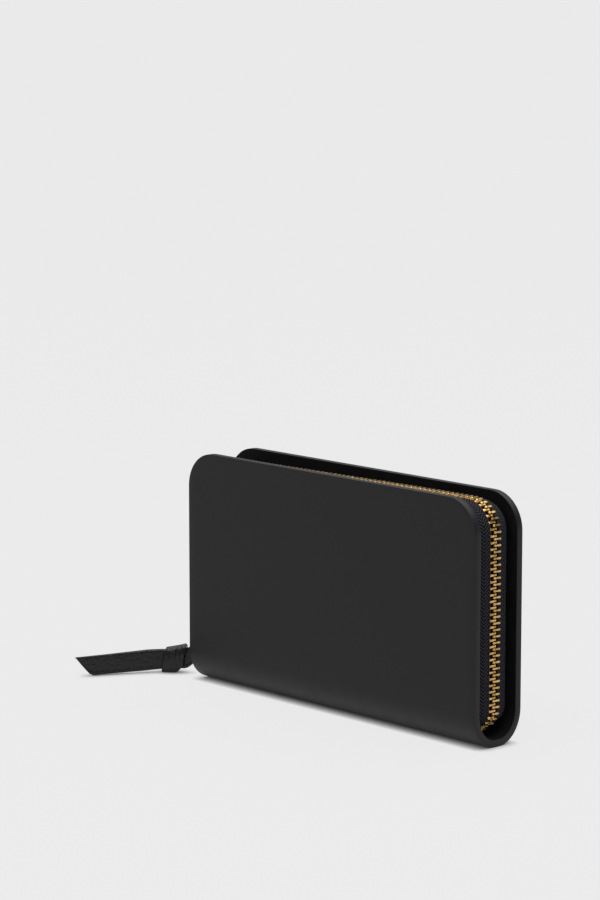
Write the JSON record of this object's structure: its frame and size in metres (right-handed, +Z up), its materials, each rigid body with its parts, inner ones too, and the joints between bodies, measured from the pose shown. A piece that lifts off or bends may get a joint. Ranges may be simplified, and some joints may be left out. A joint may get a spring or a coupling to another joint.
{
  "type": "zip around wallet",
  "caption": "Long zip-around wallet in smooth black leather bent into a U at the spine, with a brass zip, a knotted leather pull, card slots and a zipped coin pocket inside.",
  "frame": {"origin": "middle of the flat foot of the spine, on the surface that the wallet stands on", "axes": "+X along the wallet from the slider's end to the other, -Y out of the front cover, +Z up from the spine to the opening"},
  "size_m": [0.209, 0.0595, 0.1],
  "materials": {
    "cover_leather": "smooth matte black calf, stiff, painted edges",
    "inner_leather": "thin matte black lining leather",
    "pull_leather": "soft black leather with a fine pebble",
    "gusset_cloth": "matte black twill",
    "zip_tape": "black herringbone zip tape",
    "brass": "polished golden brass"
  },
  "bodies": {
    "back": {"cover_back_panel": "cover_leather", "cover_spine": "cover_leather", "lining_back": "inner_leather", "lining_spine": "inner_leather", "card_slot_back_1": "inner_leather", "card_slot_back_2": "inner_leather", "card_slot_back_3": "inner_leather", "gusset_left": "gusset_cloth", "gusset_right": "gusset_cloth", "zip_tape_back": "zip_tape", "zip_teeth_back": "brass", "zip_teeth_back_left": "brass", "zip_top_stop_back": "brass", "zip_bottom_stop": "brass"},
    "front": {"cover_front_panel": "cover_leather", "lining_front": "inner_leather", "card_slot_front_1": "inner_leather", "card_slot_front_2": "inner_leather", "card_slot_front_3": "inner_leather", "zip_tape_front": "zip_tape", "zip_teeth_front": "brass", "zip_teeth_front_left": "brass", "zip_top_stop_front": "brass"},
    "center": {"coin_wall_front": "inner_leather", "coin_wall_back": "inner_leather", "coin_gusset": "gusset_cloth", "coin_tape_front": "zip_tape", "coin_tape_back": "zip_tape", "coin_teeth_front": "brass", "coin_teeth_back": "brass", "coin_stop_start": "brass", "coin_stop_end": "brass"},
    "slider": {"slider_body": "brass", "slider_bail": "brass"},
    "pull": {"pull_strap": "pull_leather", "pull_knot": "pull_leather"},
    "coin_slider": {"coin_slider": "brass", "coin_bail": "brass"},
    "coin_pull": {"coin_pull": "brass"}
  },
  "joints": [
    {"name": "cover_open", "type": "hinge", "parent": "back", "child": "front", "pos_m": [0, 0, 0.0035], "axis": [1, 0, 0], "range_deg": [0, 48], "deforming": ["cover_spine", "lining_spine", "gusset_left", "gusset_right"]},
    {"name": "divider_open", "type": "hinge", "parent": "back", "child": "center", "pos_m": [0, 0, 0.0035], "axis": [1, 0, 0], "range_deg": [0, 24]},
    {"name": "slider_travel", "type": "slide", "parent": "back", "child": "slider", "axis": [0, 0, 1], "range_m": [0, 0.066], "deforming": ["zip_teeth_back_left", "zip_teeth_front_left"]},
    {"name": "pull_swing", "type": "hinge", "parent": "slider", "child": "pull", "pos_m": [-0.08765, 0, 0.0118], "axis": [0, 0, 1], "range_deg": [-110, 35]},
    {"name": "coin_slider_travel", "type": "slide", "parent": "center", "child": "coin_slider", "axis": [-1, 0, 0], "range_m": [0, 0.118], "deforming": ["coin_teeth_front", "coin_teeth_back"]},
    {"name": "coin_pull_flip", "type": "hinge", "parent": "coin_slider", "child": "coin_pull", "pos_m": [0.0603, 0, 0.0806], "axis": [0, -1, 0], "range_deg": [0, 110]}
  ],
  "couplings": [
    {"joint": "divider_open", "follows": "cover_open", "ratio": 0.5}
  ]
}
